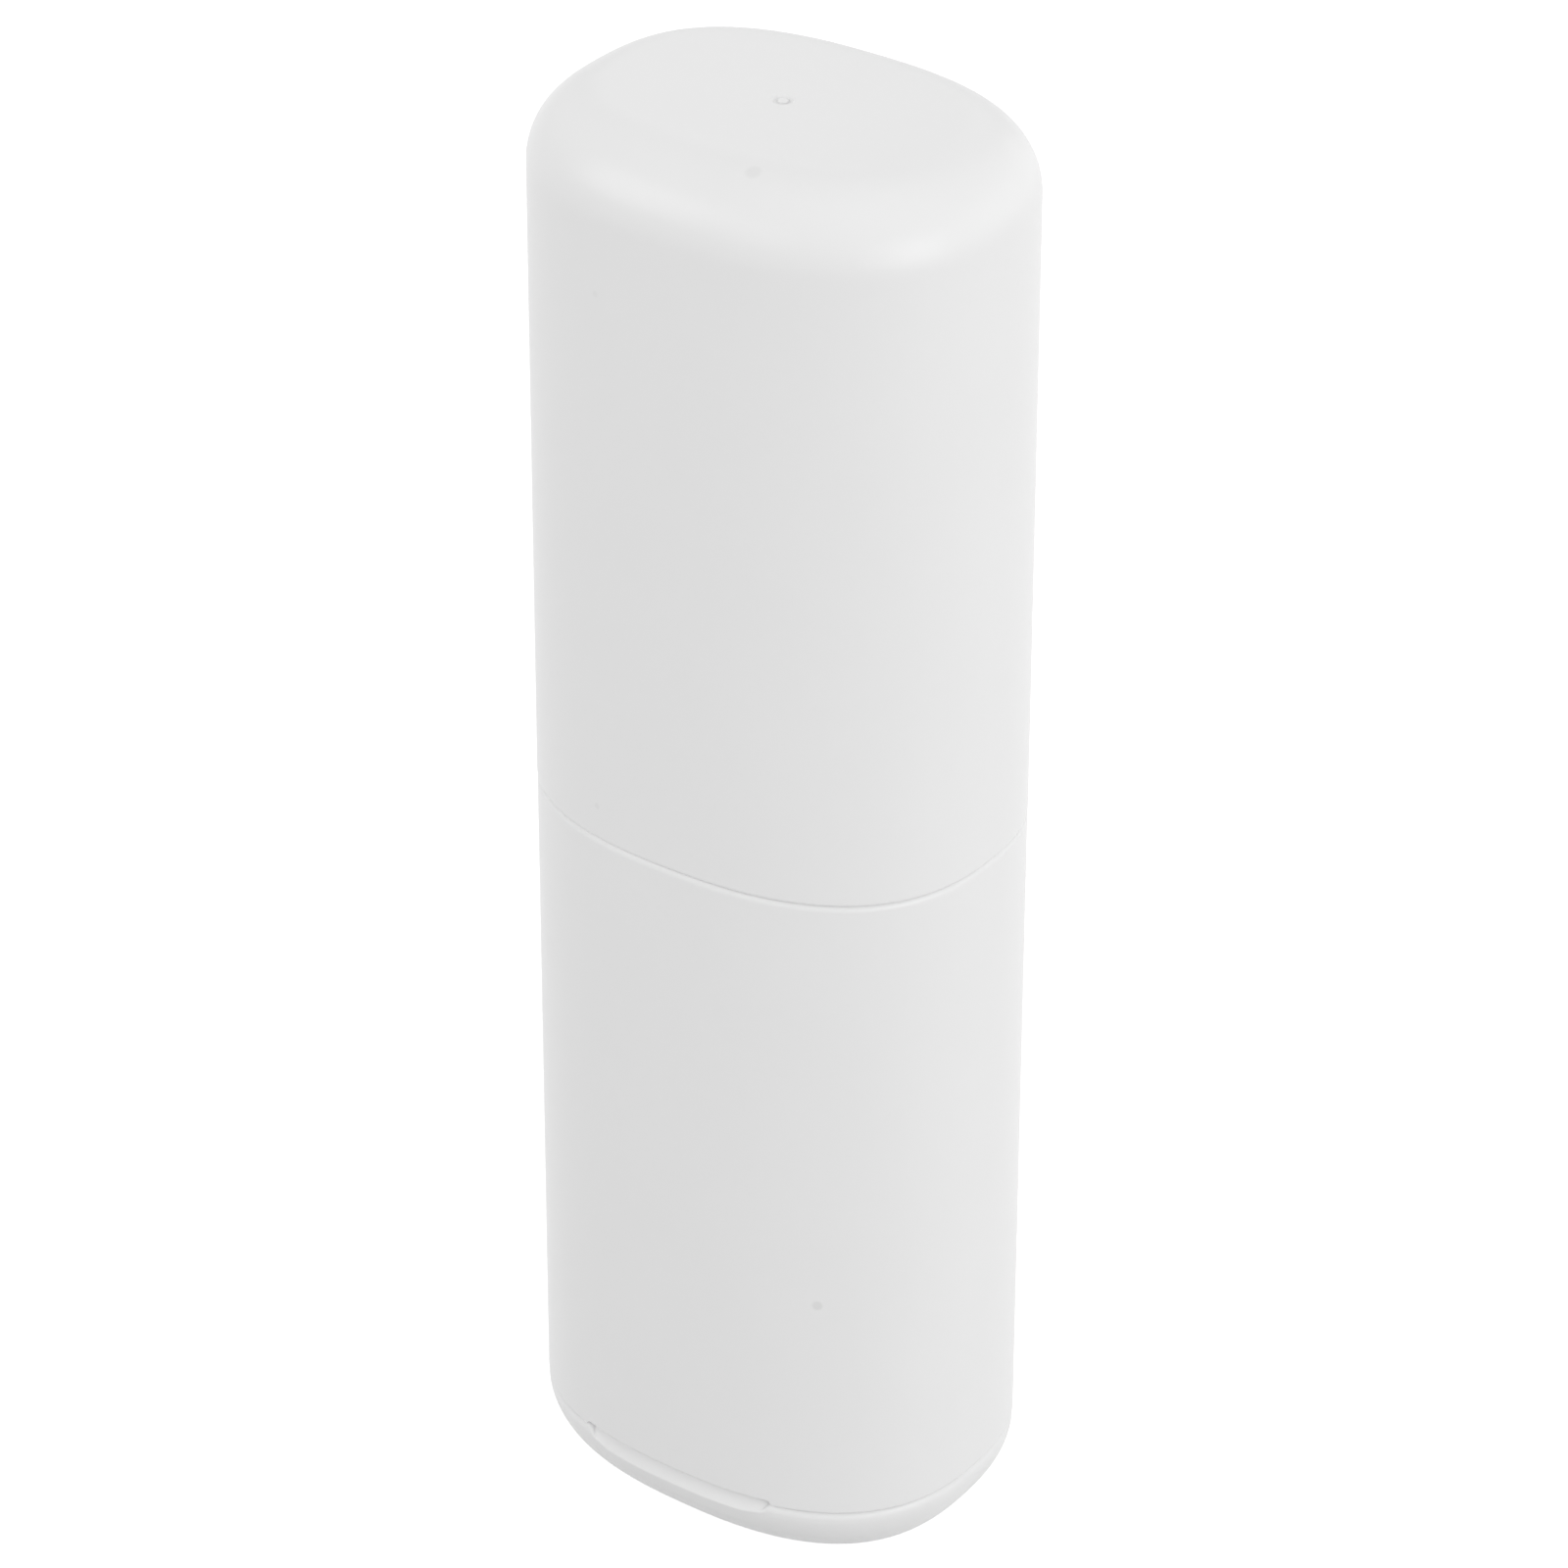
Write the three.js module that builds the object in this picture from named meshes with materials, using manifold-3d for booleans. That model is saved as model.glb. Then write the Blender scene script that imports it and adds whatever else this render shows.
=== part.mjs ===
// Travel toothbrush case that stands on its base: a pull-off cap that doubles as a rinse cup, an open-ended
// lower body with a neck, a pry-off base cover, two soft seals, and a drop-in rack with wells for two brushes
// and a tube of paste. Millimetres, +Z up, origin on the ground at the middle of the base, the broad side
// with the pry notch facing -Y.
import * as THREE from "three";
import { mergeVertices } from "three/addons/utils/BufferGeometryUtils.js";
import Module from "manifold-3d";

// Overall shape
const HEIGHT = 205; // ground to top
const WIDTH = 65.4; // across the long axis, at the cap's mouth
const DEPTH = 51; // across the short axis, at the cap's mouth
const OVAL_POWER = 2.45; // squareness of the oval, where 2 is an ellipse
const SEAM_Z = 107; // height of the body's shoulder, where the cap sits
const EDGE_RADIUS = 10; // rounding of the top and bottom edges
const BASE_RIM = 0.25; // straight rim of the base cover above its rounded edge
const CAP_DRAFT = 0.35; // how much narrower the cap's top is than its mouth, on each side
const BODY_DRAFT = 0.4; // how much wider the foot is than the shoulder, on each side
const SEAM_STEP = 0.15; // how far the shoulder's edge lies inside the cap's rim

// Walls and clearances
const WALL = 1.8; // side walls of the cap and the body
const ROOF = 2; // top wall of the cap
const FLOOR = 2; // bottom wall of the base cover
const SEAM_GAP = 0.3; // hairline gap at each seam and under the rack
const SLIDE_GAP = 0.3; // side clearance of what slides into something
const SEAL_GAP = 0.15; // clearance round a seal, in its groove and at its sealing face
const EDGE_BREAK = 0.4; // small chamfer on edges at the seams
const LEAD_IN = 0.6; // chamfer that guides a piece into its mouth

// Neck of the lower body and its seal ring
const NECK_HEIGHT = 16;
const NECK_WALL = 1.5;
const NECK_GROOVE_RISE = 7; // from the shoulder to the groove
const NECK_GROOVE_HEIGHT = 2.4;
const NECK_GROOVE_DEPTH = 0.7;

// Base cover: spigot, gasket groove, standing rim and pry notch
const SPIGOT_HEIGHT = 8;
const SPIGOT_WALL = 1.6;
const GASKET_GROOVE_RISE = 3; // from the rim to the groove
const GASKET_GROOVE_HEIGHT = 2.2;
const GASKET_GROOVE_DEPTH = 0.9;
const STANDING_RIM = 4; // width of the flat rim that the case stands on
const FOOT_RECESS = 0.8; // depth of the hollow inside the standing rim
const NOTCH_LENGTH = 30.6;
const NOTCH_RISE = 0.5; // how far the notch cuts up into the body's lower edge
const SCOOP_DEPTH = 0.85; // how far the scoop under it cuts into the base cover's rim
const SCOOP_TURN = 0.65; // depth at which the scoop's back turns into its floor
const SCOOP_TURN_DROP = 1.2; // how far below the rim that is
const SCOOP_DROP = 1.75; // how far below the rim the floor comes out

// Drop-in rack
const RACK_PLATE = 1.8;
const RACK_PLUG = 1.6; // depth of the step that centres the plate in the neck
const RACK_OVERHANG_GAP = 0.4; // how far the plate's edge stays inside the neck's outside
const RACK_WALL = 1.3; // walls of the wells
const RACK_DEPTH = 38; // depth of the wells under the plate
const RACK_LAND = 2; // plate left between a well and the plug's edge
const WELL_WEB = 3.2; // plate left between a brush well and the paste well
const BRUSH_WELL = 14; // diameter of a brush well
const PASTE_CORNER = 5; // corner radius of the paste well

// Gate mark at the middle of the cap's top, left by the mould's sprue
const GATE_RADIUS = 1.5;
const GATE_DEPTH = 0.3;
const GATE_NUB_RADIUS = 0.5;
const GATE_NUB_HEIGHT = 0.2;

// Facets
const OVAL_STEPS = 40; // round the oval
const ARC_STEPS = 5; // along a rounded edge
const WELL_STEPS = 20; // round a brush well
const CORNER_STEPS = 4; // round a corner of the paste well
const MERGE_DISTANCE = 1e-4;

// Levels and half-depths that several pieces share
const BASE_Z = EDGE_RADIUS + BASE_RIM;
const NECK_TOP = SEAM_Z + NECK_HEIGHT;
const SPIGOT_TOP = BASE_Z + SPIGOT_HEIGHT;
const capOuter = (z) => DEPTH / 2 - (CAP_DRAFT * (z - SEAM_Z)) / (HEIGHT - SEAM_Z);
const capInner = (z) => capOuter(z) - WALL;
const bodyOuter = (z) => DEPTH / 2 - SEAM_STEP + (BODY_DRAFT * (SEAM_Z - z)) / SEAM_Z;
const bodyInner = (z) => bodyOuter(z) - WALL;
const NECK_OUTER = capInner(NECK_TOP) - SLIDE_GAP;
const NECK_INNER = NECK_OUTER - NECK_WALL;
const SPIGOT_OUTER = bodyInner(SPIGOT_TOP) - SLIDE_GAP;
const SPIGOT_INNER = SPIGOT_OUTER - SPIGOT_WALL;

const wasm = await Module();
wasm.setup();

// A three.js geometry as a solid that can be cut and joined.
function solidOf(geometry) {
  geometry.deleteAttribute("normal");
  geometry.deleteAttribute("uv");
  const merged = mergeVertices(geometry, MERGE_DISTANCE);
  const index = merged.index.array;
  const triangles = [];
  for (let i = 0; i < index.length; i += 3) {
    const [a, b, c] = index.subarray(i, i + 3);
    if (a !== b && b !== c && c !== a) triangles.push(a, b, c);
  }
  return new wasm.Manifold(
    new wasm.Mesh({
      numProp: 3,
      vertProperties: merged.attributes.position.array,
      triVerts: new Uint32Array(triangles),
    }),
  );
}

// A solid as a named mesh.
function meshOf(name, solid, material) {
  const { vertProperties, triVerts } = solid.getMesh();
  const geometry = new THREE.BufferGeometry();
  geometry.setAttribute("position", new THREE.BufferAttribute(vertProperties, 3));
  geometry.setIndex(new THREE.BufferAttribute(triVerts, 1));
  geometry.computeVertexNormals();
  const mesh = new THREE.Mesh(geometry, material);
  mesh.name = name;
  return mesh;
}

// The point at an angle round the oval that is parallel to the cap's mouth and crosses the short axis at the
// given half-depth: the superellipse's own point, moved along its normal.
function ovalPoint(angle, halfDepth) {
  const halfWidth = WIDTH / 2;
  const c = Math.cos(angle);
  const s = Math.sin(angle);
  const across = Math.sign(c) * Math.abs(c) ** (2 / OVAL_POWER);
  const along = Math.sign(s) * Math.abs(s) ** (2 / OVAL_POWER);
  const normal = new THREE.Vector2(
    (Math.sign(across) * Math.abs(across) ** (OVAL_POWER - 1)) / halfWidth,
    (Math.sign(along) * Math.abs(along) ** (OVAL_POWER - 1)) / (DEPTH / 2),
  ).normalize();
  const inset = DEPTH / 2 - halfDepth;
  return [halfWidth * across - inset * normal.x, (DEPTH / 2) * along - inset * normal.y];
}

// A profile drawn through the short axis, as [half-depth, height] points, carried round the oval. It closes on
// itself, or starts and ends on the axis. Points within the gate mark go round a circle.
function ovalLathe(profile) {
  const points = profile.map(([halfDepth, z]) => new THREE.Vector2(halfDepth, z));
  const geometry = new THREE.LatheGeometry(points, OVAL_STEPS);
  geometry.rotateX(Math.PI / 2);
  const position = geometry.getAttribute("position");
  for (let i = 0; i < position.count; i++) {
    const x = position.getX(i);
    const y = position.getY(i);
    const radius = Math.hypot(x, y);
    if (radius > GATE_RADIUS + MERGE_DISTANCE) {
      position.setXY(i, ...ovalPoint(Math.atan2(y, x), radius));
    }
  }
  return solidOf(geometry);
}

// A closed profile, repeated at its first point.
const loop = (profile) => [...profile, profile[0]];

// Points of an arc from one angle to another, in degrees.
function arc(halfDepth, z, radius, from, to) {
  return Array.from({ length: ARC_STEPS + 1 }, (_, i) => {
    const angle = THREE.MathUtils.degToRad(from + ((to - from) * i) / ARC_STEPS);
    return [halfDepth + radius * Math.cos(angle), z + radius * Math.sin(angle)];
  });
}

// An outline extruded upwards from a height.
function prism(shape, z, height) {
  const geometry = new THREE.ExtrudeGeometry(shape, {
    depth: height,
    bevelEnabled: false,
    curveSegments: CORNER_STEPS,
  });
  return solidOf(geometry.translate(0, 0, z));
}

// An upright cylinder from a height.
function post(x, radius, z, height) {
  const geometry = new THREE.CylinderGeometry(radius, radius, height, WELL_STEPS);
  return solidOf(geometry.rotateX(Math.PI / 2).translate(x, 0, z + height / 2));
}

// A rectangle with round corners, centred on the axis.
function roundedRectangle(halfX, halfY, corner) {
  const shape = new THREE.Shape();
  shape.moveTo(halfX - corner, -halfY);
  shape.absarc(halfX - corner, -halfY + corner, corner, -Math.PI / 2, 0);
  shape.absarc(halfX - corner, halfY - corner, corner, 0, Math.PI / 2);
  shape.absarc(-halfX + corner, halfY - corner, corner, Math.PI / 2, Math.PI);
  shape.absarc(-halfX + corner, -halfY + corner, corner, Math.PI, 1.5 * Math.PI);
  return shape;
}

// Cap: a deep cup turned upside down, with the gate mark on its flat top.
function upperCap() {
  const mouth = SEAM_Z + SEAM_GAP;
  const outerTurn = HEIGHT - EDGE_RADIUS;
  const innerRadius = EDGE_RADIUS - WALL;
  const innerTurn = HEIGHT - ROOF - innerRadius;
  const gateFloor = HEIGHT - GATE_DEPTH;
  return ovalLathe([
    [0, HEIGHT - ROOF],
    ...arc(capInner(innerTurn) - innerRadius, innerTurn, innerRadius, 90, 0),
    [capInner(mouth), mouth + LEAD_IN],
    [capInner(mouth) + LEAD_IN / 2, mouth],
    [capOuter(mouth) - EDGE_BREAK, mouth],
    [capOuter(mouth), mouth + EDGE_BREAK],
    ...arc(capOuter(outerTurn) - EDGE_RADIUS, outerTurn, EDGE_RADIUS, 0, 90),
    [GATE_RADIUS, HEIGHT],
    [(GATE_RADIUS + GATE_NUB_RADIUS) / 2, gateFloor],
    [GATE_NUB_RADIUS, gateFloor],
    [GATE_NUB_RADIUS, gateFloor + GATE_NUB_HEIGHT],
    [0, gateFloor + GATE_NUB_HEIGHT],
  ]);
}

// Lower body: a tube open at both ends that steps in to the neck, with the seal's groove round the neck.
function lowerBody() {
  const foot = BASE_Z + SEAM_GAP;
  const throat = SEAM_Z - WALL;
  const throatFoot = throat - (bodyInner(throat) - NECK_INNER);
  const groove = SEAM_Z + NECK_GROOVE_RISE;
  const grooveFloor = NECK_OUTER - NECK_GROOVE_DEPTH;
  const tube = ovalLathe(
    loop([
      [bodyInner(foot), foot],
      [bodyOuter(foot) - EDGE_BREAK, foot],
      [bodyOuter(foot), foot + EDGE_BREAK],
      [bodyOuter(SEAM_Z), SEAM_Z - EDGE_BREAK],
      [bodyOuter(SEAM_Z) - EDGE_BREAK, SEAM_Z],
      [NECK_OUTER, SEAM_Z],
      [NECK_OUTER, groove],
      [grooveFloor, groove],
      [grooveFloor, groove + NECK_GROOVE_HEIGHT],
      [NECK_OUTER, groove + NECK_GROOVE_HEIGHT],
      [NECK_OUTER, NECK_TOP - LEAD_IN],
      [NECK_OUTER - LEAD_IN / 2, NECK_TOP],
      [NECK_INNER, NECK_TOP],
      [NECK_INNER, throat],
      [bodyInner(throatFoot), throatFoot],
    ]),
  );
  return tube.subtract(pryNotch());
}

// Base cover: a shallow tray with a rounded edge, a hollow underside and a spigot that plugs into the body.
function baseCover() {
  const edgeMiddle = bodyOuter(EDGE_RADIUS) - EDGE_RADIUS;
  const recessEdge = edgeMiddle - STANDING_RIM;
  const groove = BASE_Z + GASKET_GROOVE_RISE;
  const grooveFloor = SPIGOT_OUTER - GASKET_GROOVE_DEPTH;
  const floorTop = FOOT_RECESS + FLOOR;
  const innerRadius = EDGE_RADIUS - (bodyOuter(EDGE_RADIUS) - SPIGOT_INNER);
  const tray = ovalLathe([
    [0, FOOT_RECESS],
    [recessEdge - FOOT_RECESS, FOOT_RECESS],
    [recessEdge, 0],
    ...arc(edgeMiddle, EDGE_RADIUS, EDGE_RADIUS, -90, 0),
    [bodyOuter(BASE_Z), BASE_Z - EDGE_BREAK / 2],
    [bodyOuter(BASE_Z) - EDGE_BREAK / 2, BASE_Z],
    [SPIGOT_OUTER, BASE_Z],
    [SPIGOT_OUTER, groove],
    [grooveFloor, groove],
    [grooveFloor, groove + GASKET_GROOVE_HEIGHT],
    [SPIGOT_OUTER, groove + GASKET_GROOVE_HEIGHT],
    [SPIGOT_OUTER, SPIGOT_TOP - LEAD_IN],
    [SPIGOT_OUTER - LEAD_IN / 2, SPIGOT_TOP],
    [SPIGOT_INNER, SPIGOT_TOP],
    ...arc(SPIGOT_INNER - innerRadius, floorTop + innerRadius, innerRadius, 0, -90),
    [0, floorTop],
  ]);
  return tray.subtract(pryNotch());
}

// Pry notch: a fingernail slot across the base seam, in the middle of the front. It goes through the body's wall,
// and below it a hollow scoop in the base cover's rim leads a nail in: a steep back, then a floor that slopes down
// to the outside.
function pryNotch() {
  const sill = BASE_Z + SEAM_GAP / 2;
  const high = BASE_Z + SEAM_GAP + NOTCH_RISE;
  const back = SPIGOT_OUTER + SLIDE_GAP / 2;
  const outside = bodyOuter(BASE_Z);
  const front = outside + WALL;
  const turn = BASE_Z - SCOOP_TURN_DROP;
  const fall = (SCOOP_DROP - SCOOP_TURN_DROP) / SCOOP_TURN;
  const band = ovalLathe(
    loop([
      [back, sill],
      [outside - SCOOP_DEPTH, sill],
      [outside - SCOOP_TURN, turn],
      [front, turn - fall * (SCOOP_TURN + WALL)],
      [front, high],
      [back, high],
    ]),
  );
  const window = new THREE.BoxGeometry(NOTCH_LENGTH, DEPTH, 2 * HEIGHT);
  return band.intersect(solidOf(window.translate(0, -DEPTH / 2 - WALL, 0)));
}

// A seal of rectangular section with rounded outer edges, seated in a groove.
function sealRing(inner, outer, low, high) {
  const round = (high - low) / 4;
  return ovalLathe(
    loop([
      [inner, low],
      [outer - round, low],
      [outer, low + round],
      [outer, high - round],
      [outer - round, high],
      [inner, high],
    ]),
  );
}

// Neck seal: keeps drips in and grips the cap.
function neckSeal() {
  const low = SEAM_Z + NECK_GROOVE_RISE + SEAL_GAP;
  const high = SEAM_Z + NECK_GROOVE_RISE + NECK_GROOVE_HEIGHT - SEAL_GAP;
  return sealRing(NECK_OUTER - NECK_GROOVE_DEPTH + SEAL_GAP, capInner(high) - SEAL_GAP, low, high);
}

// Base gasket: seals the base cover's spigot in the body.
function baseGasket() {
  const low = BASE_Z + GASKET_GROOVE_RISE + SEAL_GAP;
  const high = BASE_Z + GASKET_GROOVE_RISE + GASKET_GROOVE_HEIGHT - SEAL_GAP;
  return sealRing(SPIGOT_OUTER - GASKET_GROOVE_DEPTH + SEAL_GAP, bodyInner(high) - SEAL_GAP, low, high);
}

// Rack: an oval plate on the neck's rim, with a round well at each end and a paste well between them.
function brushRack() {
  const underside = NECK_TOP + SEAM_GAP;
  const top = underside + RACK_PLATE;
  const plateEdge = NECK_OUTER - RACK_OVERHANG_GAP;
  const plugEdge = NECK_INNER - SLIDE_GAP;
  const wellFoot = underside - RACK_DEPTH;
  const wellHeight = top - wellFoot;
  const brushRadius = BRUSH_WELL / 2;
  const plugHalfWidth = WIDTH / 2 - (DEPTH / 2 - plugEdge);
  const brushX = plugHalfWidth - RACK_LAND - brushRadius;
  const pasteHalfX = brushX - brushRadius - WELL_WEB;
  const pasteHalfY = plugEdge - RACK_LAND;
  const plate = ovalLathe([
    [0, underside - RACK_PLUG],
    [plugEdge, underside - RACK_PLUG],
    [plugEdge, underside],
    [plateEdge, underside],
    [plateEdge, top - EDGE_BREAK],
    [plateEdge - EDGE_BREAK, top],
    [0, top],
  ]);
  const pasteWall = roundedRectangle(
    pasteHalfX + RACK_WALL,
    pasteHalfY + RACK_WALL,
    Math.min(PASTE_CORNER, pasteHalfX) + RACK_WALL,
  );
  const pasteHole = roundedRectangle(pasteHalfX, pasteHalfY, Math.min(PASTE_CORNER, pasteHalfX));
  let rack = plate.add(prism(pasteWall, wellFoot, RACK_DEPTH));
  for (const x of [-brushX, brushX]) {
    rack = rack.add(post(x, brushRadius + RACK_WALL, wellFoot, RACK_DEPTH));
  }
  for (const x of [-brushX, brushX]) {
    rack = rack.subtract(post(x, brushRadius, wellFoot - RACK_PLATE, wellHeight + 2 * RACK_PLATE));
  }
  return rack.subtract(prism(pasteHole, wellFoot - RACK_PLATE, wellHeight + 2 * RACK_PLATE));
}

const whitePlastic = new THREE.MeshStandardMaterial({ color: 0xe6e6e5, roughness: 0.42, metalness: 0 });
const rackPlastic = new THREE.MeshStandardMaterial({ color: 0xdcdedd, roughness: 0.5, metalness: 0 });
const silicone = new THREE.MeshStandardMaterial({ color: 0xc9cccb, roughness: 0.7, metalness: 0 });

const toothbrushCase = new THREE.Group();
toothbrushCase.add(
  meshOf("upper_cap", upperCap(), whitePlastic),
  meshOf("lower_body", lowerBody(), whitePlastic),
  meshOf("base_cover", baseCover(), whitePlastic),
  meshOf("neck_seal", neckSeal(), silicone),
  meshOf("base_gasket", baseGasket(), silicone),
  meshOf("brush_rack", brushRack(), rackPlastic),
);

export default toothbrushCase;
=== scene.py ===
"""Looks of a travel toothbrush case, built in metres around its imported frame.

The cap, the body, the base cover and both seals are profiles, drawn through the case's short axis as
half-depth against height, and carried round its oval plan on a grid: rows follow the profile, columns go
round the oval. The rack is three wells, each a profile carried round its hole, joined to one another and to
the plate's rim.
"""
import math

import bmesh
import bpy
import numpy as np
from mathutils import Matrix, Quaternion, Vector


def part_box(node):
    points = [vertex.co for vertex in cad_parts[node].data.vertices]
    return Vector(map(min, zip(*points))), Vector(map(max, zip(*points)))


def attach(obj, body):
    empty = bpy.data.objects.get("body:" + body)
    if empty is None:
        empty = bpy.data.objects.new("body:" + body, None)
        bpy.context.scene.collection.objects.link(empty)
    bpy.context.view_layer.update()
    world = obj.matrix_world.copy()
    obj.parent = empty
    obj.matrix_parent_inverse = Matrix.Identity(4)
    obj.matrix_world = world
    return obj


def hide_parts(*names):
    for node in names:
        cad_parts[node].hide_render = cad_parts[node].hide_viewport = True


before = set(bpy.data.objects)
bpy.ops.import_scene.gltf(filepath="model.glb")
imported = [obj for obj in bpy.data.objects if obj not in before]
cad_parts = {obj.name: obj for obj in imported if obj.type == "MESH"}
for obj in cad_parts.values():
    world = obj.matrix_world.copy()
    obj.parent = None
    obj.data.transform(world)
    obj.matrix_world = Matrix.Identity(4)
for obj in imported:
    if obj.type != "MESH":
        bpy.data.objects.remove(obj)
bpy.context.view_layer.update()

MM = 0.001

# Places read from the frame
CAP_LOW, CAP_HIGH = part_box("upper_cap")
BODY_LOW, BODY_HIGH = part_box("lower_body")
BASE_LOW, BASE_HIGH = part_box("base_cover")
RACK_LOW, RACK_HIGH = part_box("brush_rack")
SEAL_LOW, SEAL_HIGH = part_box("neck_seal")
GASKET_LOW, GASKET_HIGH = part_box("base_gasket")
HALF_WIDTH, HALF_DEPTH = CAP_HIGH.x, CAP_HIGH.y
TOP, MOUTH = CAP_HIGH.z, CAP_LOW.z
FOOT, NECK_TOP = BODY_LOW.z, BODY_HIGH.z
GROUND, SPIGOT_TOP = BASE_LOW.z, BASE_HIGH.z

# Shape of the shells
OVAL_POWER = 2.45
EDGE_RADIUS = 10 * MM
CAP_DRAFT = 0.35 * MM
BODY_DRAFT = 0.4 * MM
SEAM_STEP = 0.15 * MM
SEAM_GAP = 0.3 * MM
SLIDE_GAP = 0.3 * MM
SEAL_GAP = 0.15 * MM
WALL = 1.8 * MM
ROOF = 2 * MM
FLOOR = 2 * MM
SHOULDER = MOUTH - SEAM_GAP
RIM = FOOT - SEAM_GAP

# The seams close to a hairline in the middle of the frame's gaps
HAIRLINE = 0.03 * MM
CAP_SEAM = (MOUTH + SHOULDER) / 2
BASE_SEAM = (FOOT + RIM) / 2

# Small roundings that the mould leaves on each edge
LIP_OUTER = 0.35 * MM
LIP_INNER = 0.5 * MM
SHOULDER_FLARE = 0.1 * MM
SHOULDER_RISE = 0.45 * MM
SHOULDER_INSET = 0.47 * MM
SHOULDER_EDGE = 1 * MM
FOOT_EDGE = 0.15 * MM
RIM_EDGE = 1.25 * MM
RIM_ROOM = 1.5 * RIM_EDGE
CORNER = 0.15 * MM
SHARP = 0.05 * MM

# Neck and spigot, with the grooves of their seals
NECK_WALL = 1.5 * MM
NECK_GROOVE_RISE = 7 * MM
NECK_GROOVE_HEIGHT = 2.4 * MM
NECK_GROOVE_DEPTH = 0.7 * MM
NECK_EDGE = 0.5 * MM
SPIGOT_WALL = 1.6 * MM
GASKET_GROOVE_RISE = 3 * MM
GASKET_GROOVE_HEIGHT = 2.2 * MM
GASKET_GROOVE_DEPTH = 0.9 * MM
LIP_RIB = 0.35 * MM

# Standing rim and pry notch
STANDING_RIM = 4 * MM
FOOT_RECESS = 0.8 * MM
RECESS_EDGE = 0.35 * MM
NOTCH_LENGTH = 30.6 * MM
NOTCH_RISE = 0.5 * MM
NOTCH_CORNER = 0.6 * MM
SCOOP_DEPTH = 1.15 * MM
SCOOP_TURN = 0.66 * MM
SCOOP_TURN_SHARE = 0.56
SCOOP_DROP = 2.2 * MM
SCOOP_END_DROP = 1.5 * MM
SCOOP_EDGE = 0.3 * MM
SCOOP_END = 1.8 * MM
SCOOP_RISE = 5 * MM
SCOOP_SKIP = 0.2

# Gate mark: a dimple with the broken-off nub of the sprue in it
GATE_RADIUS = 1.5 * MM
GATE_DEPTH = 0.3 * MM
GATE_NUB_RADIUS = 0.7 * MM
GATE_NUB_HEIGHT = 0.2 * MM
GATE_EDGE = 0.12 * MM

# Rack
RACK_PLATE = 1.8 * MM
RACK_PLUG = 1.6 * MM
RACK_WALL = 1.3 * MM
RACK_LAND = 2 * MM
WELL_WEB = 3.2 * MM
BRUSH_RADIUS = 7 * MM
PASTE_CORNER = 5 * MM
WELL_EDGE = 0.6 * MM
WELL_LIP = 0.5 * MM
WELL_ROOT = 0.12 * MM

# Fineness of the meshes
COLUMNS = 288
NOTCH_COLUMNS = 15
NOTCH_SPREAD = 1.6 * MM
ROW_STEP = 2.5 * MM
SUPPORT = 0.2 * MM
LONG_SIDE = 4 * SUPPORT
ARC_STEP = 0.5 * MM
ARC_LEAST = 5
EDGE_ROWS = 28
SCOOP_ROWS = 12
FLANGE_START = 0.1 * MM
FLANGE_SPREAD = 0.4 * MM
ARC_COLUMNS = 72
SPLIT_COLUMNS = 40
SPLIT_SEARCH = 20001
ROUND_CORE = 12 * MM
WELD = 1e-6
TINY = 1e-9


def cap_outer(z):
    """Half-depth of the cap's outside: it narrows evenly from the mouth to the top."""
    return HALF_DEPTH - CAP_DRAFT * (z - SHOULDER) / (TOP - SHOULDER)


def body_outer(z):
    """Half-depth of the body's outside: it widens evenly from the shoulder to the ground."""
    return HALF_DEPTH - SEAM_STEP + BODY_DRAFT * (SHOULDER - z) / (SHOULDER - GROUND)


NECK_OUTER = cap_outer(NECK_TOP) - WALL - SLIDE_GAP
NECK_INNER = NECK_OUTER - NECK_WALL
SPIGOT_OUTER = body_outer(SPIGOT_TOP) - WALL - SLIDE_GAP
SPIGOT_INNER = SPIGOT_OUTER - SPIGOT_WALL


def ease(t):
    """Smooth step from 0 to 1: 3t^2 - 2t^3, held at both ends."""
    t = np.clip(t, 0, 1)
    return t * t * (3 - 2 * t)


def unit(v):
    """Vectors along the first axis, divided by their lengths."""
    return v / np.sqrt((v * v).sum(0))


def oval(turn, half_depth):
    """Plan of the case. The superellipse |x/a|^n + |y/b|^n = 1 at the angle turn is moved along its own
    normal until it crosses the short axis at half_depth. Inside ROUND_CORE it shrinks and eases into a
    circle."""
    c, s = np.cos(turn), np.sin(turn)
    across = np.sign(c) * np.abs(c) ** (2 / OVAL_POWER)
    along = np.sign(s) * np.abs(s) ** (2 / OVAL_POWER)
    normal = unit(np.array([
        np.sign(across) * np.abs(across) ** (OVAL_POWER - 1) / HALF_WIDTH,
        np.sign(along) * np.abs(along) ** (OVAL_POWER - 1) / HALF_DEPTH,
    ]))
    offset = np.maximum(half_depth, ROUND_CORE) - HALF_DEPTH
    x = HALF_WIDTH * across + offset * normal[0]
    y = HALF_DEPTH * along + offset * normal[1]
    share = np.clip(half_depth / ROUND_CORE, 0, 1)
    square = ease((half_depth - GATE_RADIUS) / (ROUND_CORE - GATE_RADIUS))
    x = share * (square * x + (1 - square) * ROUND_CORE * c)
    y = share * (square * y + (1 - square) * ROUND_CORE * s)
    return x, y


def notch_turns():
    """Angles of the two ends of the pry notch, where |x| on the front outline is half the notch's length."""
    lean = math.acos((NOTCH_LENGTH / 2 / HALF_WIDTH) ** (OVAL_POWER / 2))
    return np.array([math.pi + lean, 2 * math.pi - lean])


def turns():
    """Angles of the columns: evenly round the oval, and close together at the ends of the notch."""
    even = np.linspace(0, 2 * math.pi, COLUMNS, endpoint=False)
    spread = np.linspace(-1, 1, NOTCH_COLUMNS) * NOTCH_SPREAD / HALF_WIDTH
    return np.unique(np.concatenate([even, *(end + spread for end in notch_turns())]))


TURNS = turns()


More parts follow.
